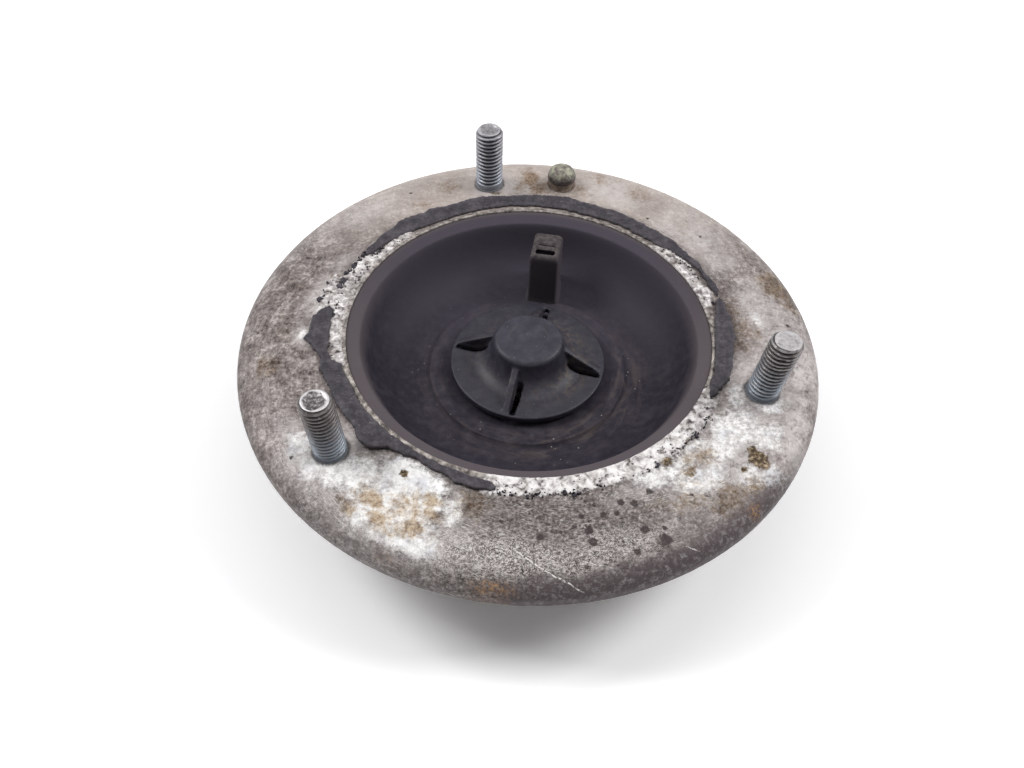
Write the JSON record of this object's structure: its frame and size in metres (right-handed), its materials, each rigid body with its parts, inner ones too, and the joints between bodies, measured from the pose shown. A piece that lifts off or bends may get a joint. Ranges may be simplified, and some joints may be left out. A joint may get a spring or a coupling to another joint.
{
  "type": "strut mount",
  "caption": "Used strut top mount: weathered aluminium flange with press-in studs and locating pin, bonded rubber dish, sealed rod bearing and a ribbed push-in dust cap.",
  "frame": {"origin": "on the strut axis, in the plane of the mounting face", "axes": "+Z along the strut axis, the way the studs point; +X to the right and +Y away in the picture's view"},
  "size_m": [0.152, 0.152, 0.0525],
  "materials": {
    "cast_aluminium": "weathered, scratched, white oxide patches",
    "zinc_steel": "dulled zinc plate",
    "pin_steel": "dulled, stained",
    "seal_rubber": "matt, torn",
    "dish_rubber": "matt, dusty",
    "housing_steel": "dull, oiled",
    "race_steel": "ground",
    "ball_steel": "polished",
    "cage_polymer": "natural nylon",
    "shield_steel": "satin",
    "ring_steel": "phosphated",
    "cap_plastic": "satin, dusty"
  },
  "bodies": {
    "mount": {"flange_plate": "cast_aluminium", "studs": "zinc_steel", "locating_pin": "pin_steel", "seal_skin": "seal_rubber", "rubber_bush": "dish_rubber", "bearing_housing": "housing_steel", "outer_race": "race_steel", "upper_shield": "shield_steel", "lower_shield": "shield_steel", "retaining_ring": "ring_steel"},
    "rod_race": {"inner_race": "race_steel"},
    "ball_set": {"ball_cage": "cage_polymer", "ball_1": "ball_steel", "ball_2": "ball_steel", "ball_3": "ball_steel", "ball_4": "ball_steel", "ball_5": "ball_steel", "ball_6": "ball_steel", "ball_7": "ball_steel", "ball_8": "ball_steel", "ball_9": "ball_steel", "ball_10": "ball_steel", "ball_11": "ball_steel", "ball_12": "ball_steel"},
    "cap": {"dust_cap": "cap_plastic"}
  },
  "joints": [
    {"name": "race_spin", "type": "hinge", "parent": "mount", "child": "rod_race", "pos_m": [0, 0, -0.0255], "axis": [0, 0, 1], "continuous": true},
    {"name": "ball_set_spin", "type": "hinge", "parent": "mount", "child": "ball_set", "pos_m": [0, 0, -0.0255], "axis": [0, 0, 1], "continuous": true},
    {"name": "cap_pull", "type": "slide", "parent": "mount", "child": "cap", "axis": [0, 0, 1], "range_m": [0, 0.04]}
  ],
  "couplings": [
    {"joint": "ball_set_spin", "follows": "race_spin", "ratio": 0.4013}
  ]
}
